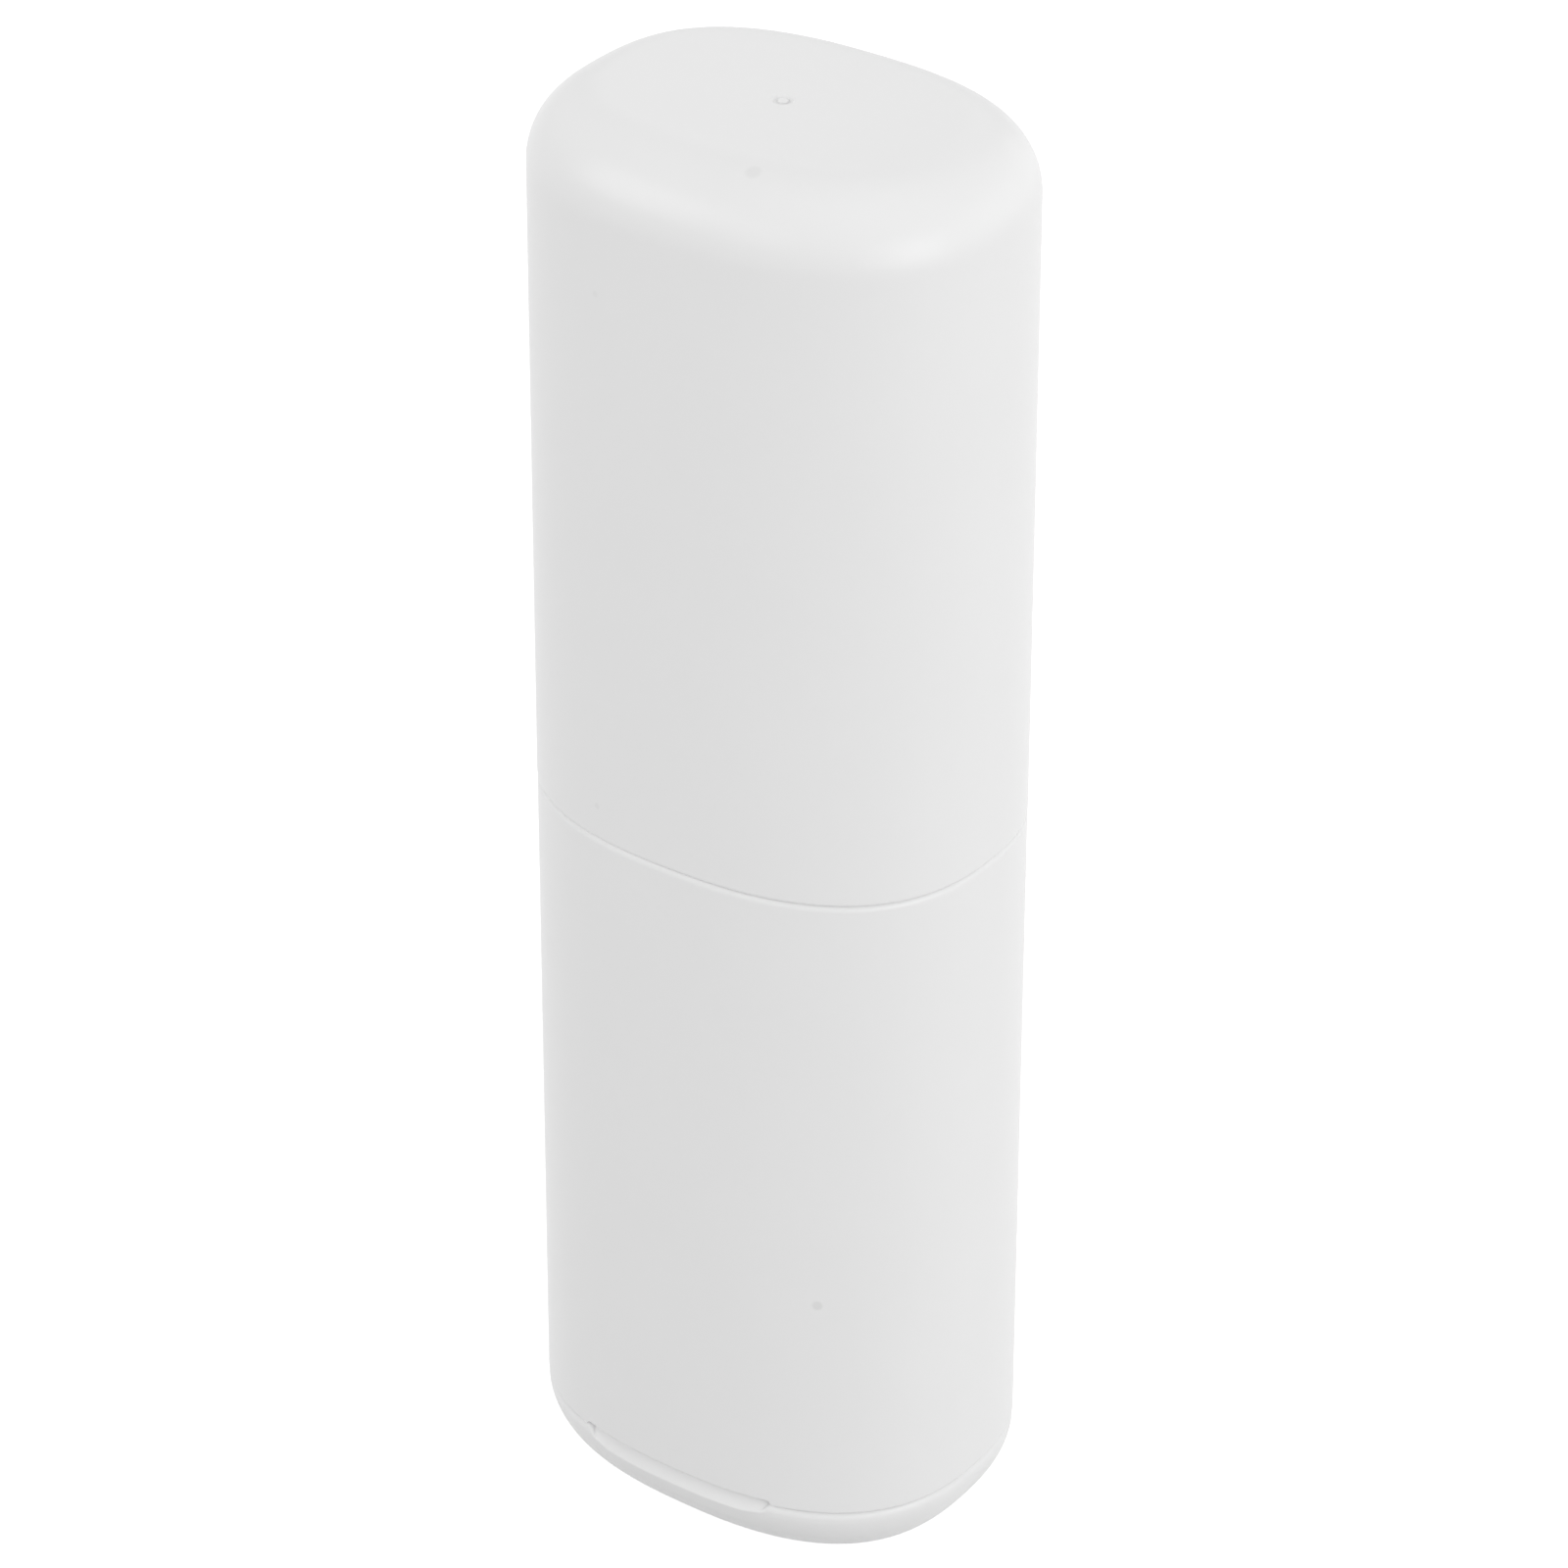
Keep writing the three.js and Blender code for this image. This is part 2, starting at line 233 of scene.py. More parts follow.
def notch_share(end):
    """1 along the pry notch, 0 elsewhere, eased over the length end at both of its ends."""
    x, y = oval(TURNS, HALF_DEPTH)
    return np.where(y < 0, ease((NOTCH_LENGTH / 2 + NOTCH_CORNER / 2 - np.abs(x)) / end), 0)


def profile(corners, columns, closed=False):
    """Rows of a profile through corners, each (first coordinate, height, radius) with a number or one value
    per column. A corner with a radius becomes an arc tangent to its two sides: centre on the bisector, points
    swept evenly from one tangent point to the other. Long sides are divided, with a row close to each end."""
    points = np.array([[np.broadcast_to(v, columns) for v in corner[:2]] for corner in corners])
    knots = []
    for i, (_, _, radius) in enumerate(corners):
        point = points[i]
        if np.max(radius) == 0:
            knots.append(point)
            continue
        before = unit(points[i - 1] - point)
        after = unit(points[(i + 1) % len(points)] - point)
        half = np.arccos((before * after).sum(0)) / 2
        middle = point + unit(before + after) * radius / np.sin(half)
        first = point + before * radius / np.tan(half) - middle
        last = point + after * radius / np.tan(half) - middle
        sweep = math.pi - 2 * half
        steps = ARC_LEAST + int(np.max(radius) / ARC_STEP)
        for t in np.linspace(0, 1, steps):
            swing = np.sin((1 - t) * sweep) * first + np.sin(t * sweep) * last
            knots.append(middle + swing / np.sin(sweep))
    rows = []
    ends = knots[1:] + knots[:1] if closed else knots[1:]
    for here, there in zip(knots, ends):
        length = np.hypot(*(there - here)).max()
        shares = np.linspace(0, 1, max(1, math.ceil(length / ROW_STEP)), endpoint=False)
        if length > LONG_SIDE:
            shares = np.union1d(shares, [SUPPORT / length, 1 - SUPPORT / length])
        rows += [here + (there - here) * t for t in shares]
    if not closed:
        rows.append(knots[-1])
    rows = np.array(rows)
    return rows[:, 0], rows[:, 1]


def grid_faces(rows, columns, closed_rows=False):
    """Quads of a grid of points, numbered row by row, that closes round its columns, or its rows too."""
    row = np.arange(rows if closed_rows else rows - 1)[:, None]
    column = np.arange(columns)[None, :]
    above = (row + 1) % rows
    beside = (column + 1) % columns
    corners = [
        row * columns + column,
        row * columns + beside,
        above * columns + beside,
        above * columns + column,
    ]
    return np.stack(corners, axis=-1).reshape(-1, 4)


def add_piece(name, grids, material, body, node):
    """One piece from one or more grids of (points, faces), welded where they meet, that stands for a CAD
    node."""
    starts = np.cumsum([0] + [len(points) for points, _ in grids])
    points = np.concatenate([points for points, _ in grids])
    faces = np.concatenate([faces + start for (_, faces), start in zip(grids, starts)])
    mesh = bpy.data.meshes.new(name)
    mesh.from_pydata(points.tolist(), [], faces.tolist())
    weld = bmesh.new()
    weld.from_mesh(mesh)
    bmesh.ops.remove_doubles(weld, verts=weld.verts, dist=WELD)
    weld.to_mesh(mesh)
    weld.free()
    mesh.shade_smooth()
    mesh.materials.append(material)
    piece = bpy.data.objects.new(name, mesh)
    bpy.context.scene.collection.objects.link(piece)
    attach(piece, body)
    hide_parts(node)


def swept(corners, closed=False):
    """A profile of (half-depth, height, radius) corners carried round the oval."""
    half_depth, height = profile(corners, len(TURNS), closed)
    x, y = oval(TURNS, half_depth)
    points = np.stack([x, y, height], axis=-1)
    return points.reshape(-1, 3), grid_faces(*height.shape, closed_rows=closed)


def gate_mark(face, outward):
    """Corners from the axis to the edge of a gate mark in a flat face: nub, dimple floor and slanted side."""
    floor = face - outward * GATE_DEPTH
    nub = floor + outward * GATE_NUB_HEIGHT
    middle = (GATE_RADIUS + GATE_NUB_RADIUS) / 2
    return [
        (0, nub, 0),
        (GATE_NUB_RADIUS, nub, GATE_EDGE),
        (GATE_NUB_RADIUS, floor, 0),
        (middle, floor, GATE_EDGE),
        (GATE_RADIUS, face, GATE_EDGE),
    ]


def cap_grid():
    """Cap, from the middle of its roof's inside, down the inner wall, round the mouth and up to its top."""
    inner_radius = EDGE_RADIUS - WALL
    mouth = CAP_SEAM + HAIRLINE / 2
    return swept([
        (0, TOP - ROOF, 0),
        (cap_outer(TOP) - WALL, TOP - ROOF, inner_radius),
        (cap_outer(mouth) - WALL, mouth, LIP_INNER),
        (cap_outer(mouth), mouth, LIP_OUTER),
        (cap_outer(TOP), TOP, EDGE_RADIUS),
        *reversed(gate_mark(TOP, 1)),
    ])


def groove(outer, depth, low, height):
    """Corners of a groove cut into a wall, from below."""
    return [
        (outer, low, CORNER),
        (outer - depth, low, CORNER),
        (outer - depth, low + height, CORNER),
        (outer, low + height, CORNER),
    ]


def body_grid():
    """Body, from the foot's inside, up the outer wall, over the shoulder and the neck, and down the inside.
    The foot rises along the pry notch."""
    seam = BASE_SEAM + HAIRLINE / 2
    foot = seam + (FOOT + NOTCH_RISE - seam) * notch_share(NOTCH_CORNER)
    shoulder = CAP_SEAM - HAIRLINE / 2
    wall_top = body_outer(shoulder) + SHOULDER_FLARE
    throat = SHOULDER - WALL
    throat_foot = throat - (body_outer(throat) - WALL - NECK_INNER)
    return swept([
        (body_outer(FOOT) - WALL, foot, CORNER),
        (body_outer(FOOT), foot, FOOT_EDGE),
        (wall_top, shoulder - SHOULDER_RISE, SHOULDER_EDGE),
        (wall_top - SHOULDER_INSET, shoulder, SHARP),
        (NECK_OUTER, shoulder, CORNER),
        *groove(NECK_OUTER, NECK_GROOVE_DEPTH, SHOULDER + NECK_GROOVE_RISE, NECK_GROOVE_HEIGHT),
        (NECK_OUTER, NECK_TOP, NECK_EDGE),
        (NECK_INNER, NECK_TOP, NECK_EDGE),
        (NECK_INNER, throat, CORNER),
        (body_outer(throat_foot) - WALL, throat_foot, CORNER),
    ], closed=True)


def base_grid():
    """Base cover, from the middle of its underside, round the edge, over the rim and spigot, and down to the
    inner floor. Along the pry notch the rim drops, further in the middle than at its ends, and a hollow scoop
    leads up from it to the flange: a curve through a start, a turn and an end with the weights (1-t)^2,
    2t(1-t) and t^2. Elsewhere the scoop's rows lie close together on the flange."""
    share = notch_share(SCOOP_END)
    drop = SCOOP_END_DROP + (SCOOP_DROP - SCOOP_END_DROP) * notch_share(SCOOP_RISE)
    edge_middle = body_outer(EDGE_RADIUS) - EDGE_RADIUS
    recess = edge_middle - STANDING_RIM
    quarter = EDGE_RADIUS * math.pi / 2
    flange = BASE_SEAM - HAIRLINE / 2
    rim = flange - drop * share
    rim_path = np.where(
        rim < EDGE_RADIUS,
        EDGE_RADIUS * np.arccos(np.clip(1 - rim / EDGE_RADIUS, 0, 1)),
        quarter + rim - EDGE_RADIUS,
    )

    def edge(path):
        """Half-depth and height after a length of path: a quarter circle from the ground, then straight."""
        angle = np.minimum(path, quarter) / EDGE_RADIUS
        height = EDGE_RADIUS * (1 - np.cos(angle)) + np.maximum(path - quarter, 0)
        return edge_middle + EDGE_RADIUS * np.sin(angle), GROUND + height

    edge_rows = [(*edge(t * (rim_path - RIM_ROOM)), 0) for t in np.linspace(0, 1, EDGE_ROWS)]
    outside, rim_height = edge(rim_path)
    scoop_rows = []
    for t in np.linspace(0, 1, SCOOP_ROWS):
        flat = outside - RIM_EDGE - FLANGE_START - FLANGE_SPREAD * t
        way = SCOOP_SKIP + (1 - SCOOP_SKIP) * t
        start, turn, end = (1 - way) ** 2, 2 * way * (1 - way), way ** 2
        hollow = outside - turn * SCOOP_TURN - end * SCOOP_DEPTH
        height = flange - (start + turn * SCOOP_TURN_SHARE) * drop
        scoop_rows.append((flat + (hollow - flat) * share, flange + (height - flange) * share, 0))
    floor_top = GROUND + FOOT_RECESS + FLOOR
    inner_radius = EDGE_RADIUS - (body_outer(EDGE_RADIUS) - SPIGOT_INNER)
    return swept([
        *gate_mark(GROUND + FOOT_RECESS, -1),
        (recess - FOOT_RECESS, GROUND + FOOT_RECESS, RECESS_EDGE),
        (recess, GROUND, RECESS_EDGE),
        *edge_rows,
        (outside, rim_height, RIM_EDGE + (SCOOP_EDGE - RIM_EDGE) * share),
        *scoop_rows,
        (SPIGOT_OUTER, flange, CORNER),
        *groove(SPIGOT_OUTER, GASKET_GROOVE_DEPTH, RIM + GASKET_GROOVE_RISE, GASKET_GROOVE_HEIGHT),
        (SPIGOT_OUTER, SPIGOT_TOP, NECK_EDGE),
        (SPIGOT_INNER, SPIGOT_TOP, NECK_EDGE),
        (SPIGOT_INNER, floor_top, inner_radius),
        (0, floor_top, 0),
    ])


def seal_grid(inner, outer, low, high):
    """Soft seal with a flat back and two rounded ribs that press on the wall."""
    quarter = (high - low) / 4
    return swept([
        (inner, low, CORNER),
        (outer - LIP_RIB, low, CORNER),
        (outer, low + quarter, CORNER),
        (outer - LIP_RIB, low + 2 * quarter, CORNER),
        (outer, low + 3 * quarter, CORNER),
        (outer - LIP_RIB, high, CORNER),
        (inner, high, CORNER),
    ], closed=True)


def rounded_box(directions, half_x, half_y, corner):
    """Distance from the middle of a rectangle with round corners to its outline along unit directions: to a
    side, or to the corner circle where the side's point would lie past the corner's centre."""
    c, s = np.abs(directions)
    to_side = np.minimum(half_x / np.maximum(c, TINY), half_y / np.maximum(s, TINY))
    centre = np.array([half_x - corner, half_y - corner])
    past = (to_side * c > centre[0]) & (to_side * s > centre[1])
    along = c * centre[0] + s * centre[1]
    root = np.sqrt(np.maximum(along ** 2 - (centre ** 2).sum() + corner ** 2, 0))
    return np.where(past, along + root, to_side)


def well_grid(boundary, centre, reach):
    """One well of the rack. Columns run along rays from the hole's centre to the points of its cell's
    boundary, and rows from the plate's top down the hole, round the tube's lip and up its outside to the
    plate's underside. reach(rays, offset) is the distance to the hole's outline, moved outwards by offset."""
    rays = unit((boundary - centre).T)
    underside = RACK_HIGH.z - RACK_PLATE - RACK_PLUG
    offset, height = profile([
        (WELL_EDGE + SUPPORT, RACK_HIGH.z, 0),
        (0, RACK_HIGH.z, WELL_EDGE),
        (0, RACK_LOW.z, WELL_LIP),
        (RACK_WALL, RACK_LOW.z, WELL_LIP),
        (RACK_WALL, underside, WELL_ROOT),
        (RACK_WALL + 2 * WELL_ROOT, underside, 0),
    ], len(boundary))
    distance = np.array([reach(rays, row) for row in offset])
    tube = np.stack([centre[0] + distance * rays[0], centre[1] + distance * rays[1], height], axis=-1)
    top = np.column_stack([boundary, np.full(len(boundary), RACK_HIGH.z)])
    bottom = np.column_stack([boundary, np.full(len(boundary), underside)])
    points = np.concatenate([top[None], tube, bottom[None]])
    return points.reshape(-1, 3), grid_faces(*points.shape[:2])


def rack_grids():
    """Rack: a cell for each well, bounded by the plug's oval and by two straight lines between the wells, and
    the plate's rim swept round the oval from the plug's underside to the plate's top."""
    plug_edge = NECK_INNER - SLIDE_GAP
    plug_half_width = HALF_WIDTH - (HALF_DEPTH - plug_edge)
    brush_x = plug_half_width - RACK_LAND - BRUSH_RADIUS
    paste_half_x = brush_x - BRUSH_RADIUS - WELL_WEB
    paste_half_y = plug_edge - RACK_LAND
    split_x = (paste_half_x + brush_x - BRUSH_RADIUS) / 2
    fine = np.linspace(0, math.pi / 2, SPLIT_SEARCH)
    split = np.interp(-split_x, -oval(fine, plug_edge)[0], fine)

    def arc(start, end):
        """Angles spaced evenly from start up to end, which begins the next arc."""
        return np.linspace(start, end, ARC_COLUMNS, endpoint=False)

    right_arc = arc(-split, split)
    back_arc = arc(split, math.pi - split)
    left_arc = arc(math.pi - split, math.pi + split)
    front_arc = arc(math.pi + split, 2 * math.pi - split)

    def on_oval(angles):
        """Points of the plug's oval at these angles."""
        return np.column_stack(oval(angles, plug_edge))

    split_y = oval(split, plug_edge)[1]
    line = np.linspace(-split_y, split_y, SPLIT_COLUMNS)

    def on_line(x, ys):
        """Points of the straight line between two wells, at one x."""
        return np.column_stack([np.full(len(ys), x), ys])

    right_cell = np.concatenate([on_oval(right_arc), on_line(split_x, line[:0:-1])])
    left_cell = np.concatenate([on_oval(left_arc), on_line(-split_x, line[:-1])])
    middle_cell = np.concatenate([
        on_line(split_x, line[:-1]),
        on_oval(back_arc),
        on_line(-split_x, line[:0:-1]),
        on_oval(front_arc),
    ])

    def round_reach(rays, offset):
        """A brush hole is a circle, so its distance is the same along every ray."""
        return BRUSH_RADIUS + offset

    def paste_reach(rays, offset):
        """The paste hole is a rounded rectangle. A row has the same offset all round."""
        moved = offset[0]
        return rounded_box(rays, paste_half_x + moved, paste_half_y + moved, PASTE_CORNER + moved)

    underside = RACK_HIGH.z - RACK_PLATE
    half_depth, height = profile([
        (plug_edge, underside - RACK_PLUG, 0),
        (plug_edge, underside, CORNER),
        (RACK_HIGH.y, underside, CORNER),
        (RACK_HIGH.y, RACK_HIGH.z, WELL_LIP),
        (plug_edge, RACK_HIGH.z, 0),
    ], 4 * ARC_COLUMNS)
    x, y = oval(np.concatenate([right_arc, back_arc, left_arc, front_arc]), half_depth)
    rim = np.stack([x, y, height], axis=-1)
    return [
        well_grid(right_cell, np.array([brush_x, 0]), round_reach),
        well_grid(left_cell, np.array([-brush_x, 0]), round_reach),
        well_grid(middle_cell, np.array([0.0, 0]), paste_reach),
        (rim.reshape(-1, 3), grid_faces(*height.shape)),
    ]


# Finish that the mould gives every piece
CLOUD_SCALE = 55.0
CLOUD_LOW, CLOUD_HIGH = 0.3, 0.7
RIPPLE_SHARE = 2.0
SCATTER = {"Subsurface_Radius": (1, 1, 1), "Subsurface_Scale": 1 * MM}

# Blemishes in the white plastic: their colour, and the place, radius and strength of each
STAIN = (0.2, 0.2, 0.19, 1)
SPECKS = [
    ((8.4 * MM, -17.9 * MM, 204.3 * MM), 1.35 * MM, 0.07),
    ((21.3 * MM, -21.5 * MM, 44.85 * MM), 0.9 * MM, 0.13),
    ((-11.5 * MM, -24.65 * MM, 112 * MM), 0.6 * MM, 0.06),
    ((-10.65 * MM, -24.8 * MM, 185.4 * MM), 0.65 * MM, 0.05),
]


def add_node(tree, kind, inputs=None, **settings):
    """A shader node with its settings, and with each named input set to a value or linked to a socket."""
    node = tree.nodes.new(kind)
    for name, value in settings.items():
        setattr(node, name, value)
    for name, value in (inputs or {}).items():
        if isinstance(value, bpy.types.NodeSocket):
            tree.links.new(value, node.inputs[name])
        else:
            node.inputs[name].default_value = value
    return node


def multiply_add(tree, value, factor, addend):
    """Socket of value times factor plus addend."""
    node = add_node(tree, "ShaderNodeMath", {0: value, 1: factor, 2: addend}, operation="MULTIPLY_ADD")
    return node.outputs[0]


def new_group(name, inputs, outputs):
    """A shader node group with named sockets, as its tree, its input node and its output node."""
    tree = bpy.data.node_groups.new(name, "ShaderNodeTree")
    for socket, kind in inputs.items():
        tree.interface.new_socket(socket, in_out="INPUT", socket_type="NodeSocket" + kind)
    for socket, kind in outputs.items():
        tree.interface.new_socket(socket, in_out="OUTPUT", socket_type="NodeSocket" + kind)
    return tree, tree.nodes.new("NodeGroupInput"), tree.nodes.new("NodeGroupOutput")


def mould_grain_group():
    """Surface that a spark-eroded mould gives plastic: Height is a fine grain over a shallow ripple, Rub is a
    slow cloud that changes the gloss a little."""
    tree, start, end = new_group(
        "mould_grain",
        {"Vector": "Vector", "Grain Scale": "Float", "Ripple Scale": "Float"},
        {"Height": "Float", "Rub": "Float"},
    )
    vector = start.outputs["Vector"]
    grain = add_node(tree, "ShaderNodeTexNoise", {
        "Vector": vector, "Scale": start.outputs["Grain Scale"], "Detail": 3.0, "Roughness": 0.65,
    })
    ripple = add_node(tree, "ShaderNodeTexNoise", {
        "Vector": vector, "Scale": start.outputs["Ripple Scale"], "Detail": 2.0, "Roughness": 0.4,
    })
    cloud = add_node(tree, "ShaderNodeTexNoise", {"Vector": vector, "Scale": CLOUD_SCALE, "Detail": 4.0})
    height = multiply_add(tree, ripple.outputs["Fac"], RIPPLE_SHARE, grain.outputs["Fac"])
    tree.links.new(height, end.inputs["Height"])
    tree.links.new(cloud.outputs["Fac"], end.inputs["Rub"])
    return tree


def speck_group():
    """A small round blemish: 1 within half its radius of a place on the object, easing to 0 at its radius."""
    tree, start, end = new_group(
        "speck", {"Vector": "Vector", "Place": "Vector", "Radius": "Float"}, {"Mask": "Float"})
    vector, place, radius = (start.outputs[name] for name in ("Vector", "Place", "Radius"))
    distance = add_node(tree, "ShaderNodeVectorMath", {0: vector, 1: place}, operation="DISTANCE")
    half = add_node(tree, "ShaderNodeMath", {0: radius, 1: 0.5}, operation="MULTIPLY")
    mask = add_node(tree, "ShaderNodeMapRange", {
        "Value": distance.outputs["Value"], "From Min": radius, "From Max": half.outputs[0],
    }, interpolation_type="SMOOTHSTEP")
    tree.links.new(mask.outputs["Result"], end.inputs["Mask"])
    return tree


MOULD_GRAIN = mould_grain_group()
SPECK = speck_group()


def new_material(name, **sockets):
    """A material with a Principled BSDF whose sockets have these values, as (material, tree, shader)."""
    material = bpy.data.materials.new(name)
    material.use_nodes = True
    tree = material.node_tree
    shader = tree.nodes["Principled BSDF"]
    for socket, value in sockets.items():
        shader.inputs[socket.replace("_", " ")].default_value = value
    return material, tree, shader


def moulded_finish(tree, shader, tones, roughness, grain_scale, ripple_scale, depth):
    """Links grain, gloss and tone to a shader: the colour drifts between two close tones and the roughness
    between two values with the slow cloud, and the grain bumps the normal by depth. Returns the sockets of
    the object's coordinates and of the colour."""
    coordinates = add_node(tree, "ShaderNodeTexCoord").outputs["Object"]
    grain = add_node(tree, "ShaderNodeGroup", {
        "Vector": coordinates, "Grain Scale": grain_scale, "Ripple Scale": ripple_scale,
    }, node_tree=MOULD_GRAIN).outputs
    gloss = add_node(tree, "ShaderNodeMapRange", {
        "Value": grain["Rub"],
        "From Min": CLOUD_LOW,
        "From Max": CLOUD_HIGH,
        "To Min": roughness[0],
        "To Max": roughness[1],
    })
    tree.links.new(gloss.outputs["Result"], shader.inputs["Roughness"])
    bump = add_node(tree, "ShaderNodeBump", {"Height": grain["Height"], "Strength": 1.0, "Distance": depth})
    tree.links.new(bump.outputs["Normal"], shader.inputs["Normal"])
    tone = add_node(tree, "ShaderNodeMix", {
        "Factor": grain["Rub"], "A": tones[0], "B": tones[1],
    }, data_type="RGBA")
    tree.links.new(tone.outputs["Result"], shader.inputs["Base Color"])
    return coordinates, tone.outputs["Result"]


def white_shell():
    """Satin white plastic of the shells, with a few faint specks."""
    material, tree, shader = new_material("white_shell", IOR=1.49, Subsurface_Weight=0.1, **SCATTER)
    coordinates, colour = moulded_finish(
        tree,
        shader,
        tones=((0.83, 0.83, 0.83, 1), (0.85, 0.85, 0.85, 1)),
        roughness=(0.28, 0.33),
        grain_scale=6500.0,
        ripple_scale=420.0,
        depth=0.006 * MM,
    )
    for place, radius, strength in SPECKS:
        speck = add_node(tree, "ShaderNodeGroup", {
            "Vector": coordinates, "Place": place, "Radius": radius,
        }, node_tree=SPECK).outputs
        amount = add_node(tree, "ShaderNodeMath", {0: speck["Mask"], 1: strength}, operation="MULTIPLY")
        stain = add_node(tree, "ShaderNodeMix", {
            "Factor": amount.outputs[0], "A": colour, "B": STAIN,
        }, data_type="RGBA")
        colour = stain.outputs["Result"]
    tree.links.new(colour, shader.inputs["Base Color"])
    return material


def rack_plastic():
    """Matt white plastic of the rack."""
    material, tree, shader = new_material("rack_plastic", IOR=1.49, Subsurface_Weight=0.1, **SCATTER)
    moulded_finish(
        tree,
        shader,
        tones=((0.74, 0.75, 0.745, 1), (0.78, 0.79, 0.785, 1)),
        roughness=(0.46, 0.54),
        grain_scale=5200.0,
        ripple_scale=380.0,
        depth=0.01 * MM,
    )
    return material


def soft_seal():
    """Matt grey silicone of both seals."""
    material, tree, shader = new_material("soft_seal", IOR=1.41, Subsurface_Weight=0.2, **SCATTER)
    moulded_finish(
        tree,
        shader,
        tones=((0.56, 0.58, 0.575, 1), (0.62, 0.64, 0.635, 1)),
        roughness=(0.55, 0.65),
        grain_scale=4000.0,
        ripple_scale=300.0,
        depth=0.008 * MM,
    )
    return material


def pieces():
    """The six pieces, each riding on its body."""
    shell, rack, seal = white_shell(), rack_plastic(), soft_seal()
    add_piece("cap_moulding", [cap_grid()], shell, "cap", "upper_cap")
    add_piece("body_moulding", [body_grid()], shell, "body", "lower_body")
    add_piece("base_moulding", [base_grid()], shell, "base", "base_cover")
    neck_back = NECK_OUTER - NECK_GROOVE_DEPTH + SEAL_GAP
    neck_ring = seal_grid(neck_back, SEAL_HIGH.y, SEAL_LOW.z, SEAL_HIGH.z)
    add_piece("neck_seal_ring", [neck_ring], seal, "body", "neck_seal")
    gasket_back = SPIGOT_OUTER - GASKET_GROOVE_DEPTH + SEAL_GAP
    gasket_ring = seal_grid(gasket_back, GASKET_HIGH.y, GASKET_LOW.z, GASKET_HIGH.z)
    add_piece("base_gasket_ring", [gasket_ring], seal, "base", "base_gasket")
    add_piece("rack_moulding", rack_grids(), rack, "rack", "brush_rack")


# Camera, from the photograph's perspective: the frame is square
CAMERA_AZIMUTH = math.radians(35.4)
CAMERA_ELEVATION = math.radians(31.34)
CAMERA_DISTANCE = 764.9 * MM
CAMERA_CENTRE = Vector((0, 0, 106.4 * MM))
CAMERA_AIM = Vector((0.07 * MM, 0.5 * MM, 107 * MM))
CAMERA_ROLL = math.radians(0.16)
CAMERA_LENS = 134.26
CAMERA_NEAR = 10 * MM

# Floor, and how much it glows: for every ray, more in reflections, and more again for the camera
FLOOR_HALF = 4.0
FLOOR_LIGHT = 0.08
FLOOR_GLOSS = 0.62
FLOOR_GLOW = 0.8

# Soft lights round the case: name, azimuth and elevation in degrees, and power in watts
SOFT_LIGHTS = [
    ("right_softbox", 84, 10, 2.2),
    ("front_right_softbox", 60, 10, 1.2),
    ("front_softbox", -10, 28, 0.68),
    ("front_left_softbox", -45, 28, 1.78),
    ("side_right_softbox", 110, 10, 0.6),
    ("back_right_softbox", 140, 10, 0.65),
    ("back_softbox", 170, 10, 0.47),
    ("back_left_softbox", -150, 28, 0.32),
]
LIGHT_DISTANCE = 1.2
LIGHT_SIZE = 0.6
LIGHT_AIM = Vector((0, 0, 0.1))
WORLD_STRENGTH = 0.81


def direction(azimuth, elevation):
    """Unit vector towards an azimuth, which is 0 at the front and a quarter turn on the right, and an
    elevation."""
    flat = math.cos(elevation)
    return Vector((math.sin(azimuth) * flat, -math.cos(azimuth) * flat, math.sin(elevation)))


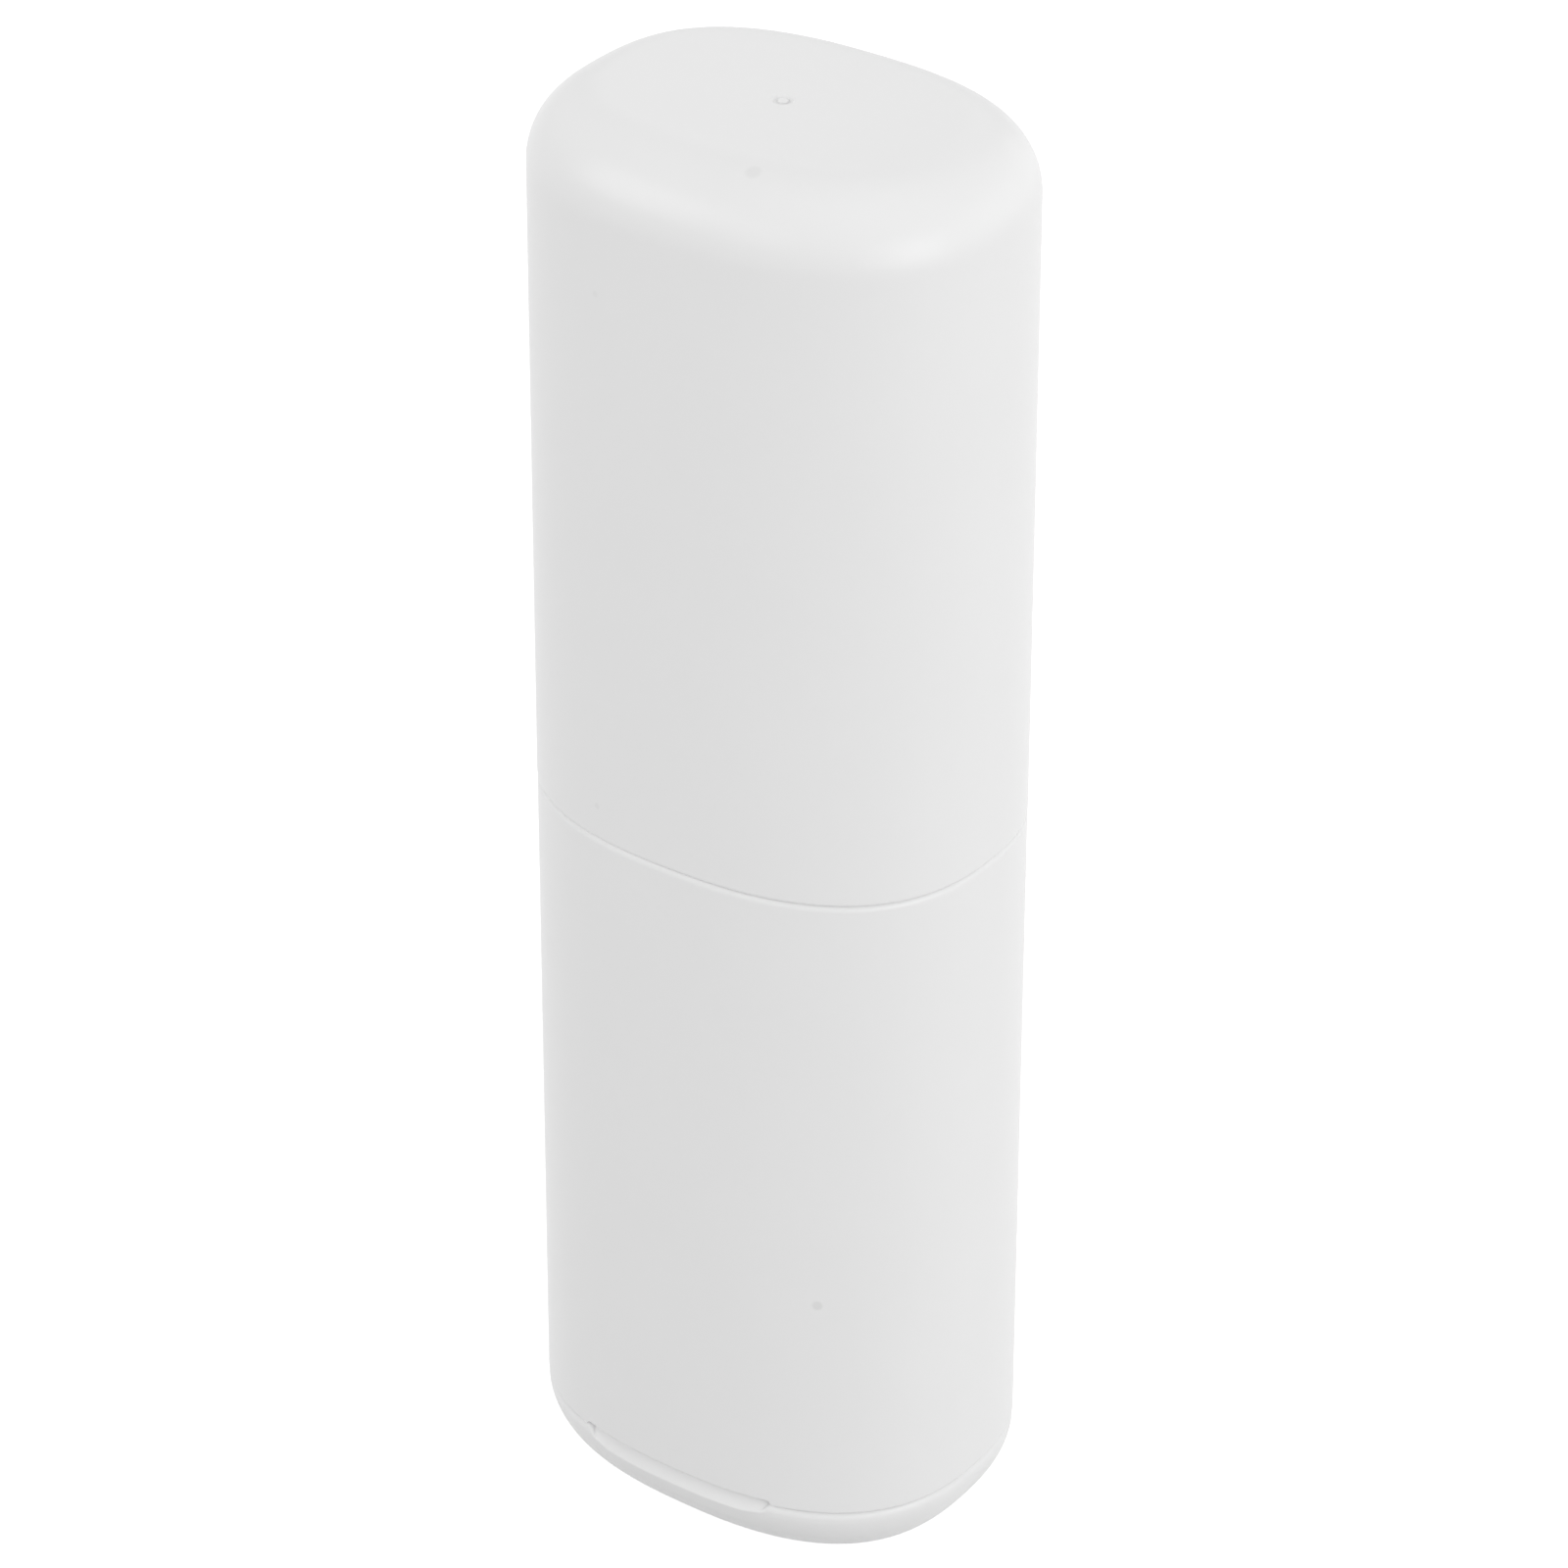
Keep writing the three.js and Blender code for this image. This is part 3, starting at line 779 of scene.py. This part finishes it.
def add_camera():
    """Camera on the photograph's line of sight, aimed so that the frame sits as the photograph's does."""
    data = bpy.data.cameras.new("camera")
    data.lens = CAMERA_LENS
    data.clip_start = CAMERA_NEAR
    camera = bpy.data.objects.new("camera", data)
    camera.location = CAMERA_CENTRE + direction(CAMERA_AZIMUTH, CAMERA_ELEVATION) * CAMERA_DISTANCE
    look = (CAMERA_AIM - camera.location).to_track_quat("-Z", "Y")
    camera.rotation_euler = (look @ Quaternion((0, 0, 1), CAMERA_ROLL)).to_euler()
    bpy.context.scene.collection.objects.link(camera)
    bpy.context.scene.camera = camera


def add_floor():
    """Plain floor that glows a little. It shines more for reflections in the case, and for the camera, so
    that it stays white around the case."""
    mesh = bpy.data.meshes.new("floor")
    half = FLOOR_HALF
    corners = [(-half, -half, 0), (half, -half, 0), (half, half, 0), (-half, half, 0)]
    mesh.from_pydata(corners, [], [(0, 1, 2, 3)])
    material, tree, shader = new_material(
        "floor",
        Base_Color=(0.4, 0.4, 0.4, 1),
        Roughness=0.9,
        Specular_IOR_Level=0.1,
        Emission_Color=(1, 1, 1, 1),
    )
    material.cycles.emission_sampling = "NONE"
    ray = add_node(tree, "ShaderNodeLightPath").outputs
    mirrored = multiply_add(tree, ray["Is Glossy Ray"], FLOOR_GLOSS, FLOOR_LIGHT)
    glow = multiply_add(tree, ray["Is Camera Ray"], FLOOR_GLOW, mirrored)
    tree.links.new(glow, shader.inputs["Emission Strength"])
    mesh.materials.append(material)
    floor = bpy.data.objects.new("floor", mesh)
    bpy.context.scene.collection.objects.link(floor)


def add_lights():
    """White surroundings and a ring of soft lights, strongest on the right and at the front left."""
    world = bpy.data.worlds.new("surroundings")
    world.use_nodes = True
    background = world.node_tree.nodes["Background"]
    background.inputs["Color"].default_value = (1, 1, 1, 1)
    background.inputs["Strength"].default_value = WORLD_STRENGTH
    bpy.context.scene.world = world
    for name, azimuth, elevation, power in SOFT_LIGHTS:
        data = bpy.data.lights.new(name, "AREA")
        data.shape = "SQUARE"
        data.size = LIGHT_SIZE
        data.energy = power
        light = bpy.data.objects.new(name, data)
        towards = direction(math.radians(azimuth), math.radians(elevation))
        light.location = LIGHT_AIM + towards * LIGHT_DISTANCE
        light.rotation_euler = towards.to_track_quat("Z", "Y").to_euler()
        bpy.context.scene.collection.objects.link(light)


add_camera()
add_floor()
add_lights()
pieces()
bpy.context.scene.view_settings.view_transform = "Standard"
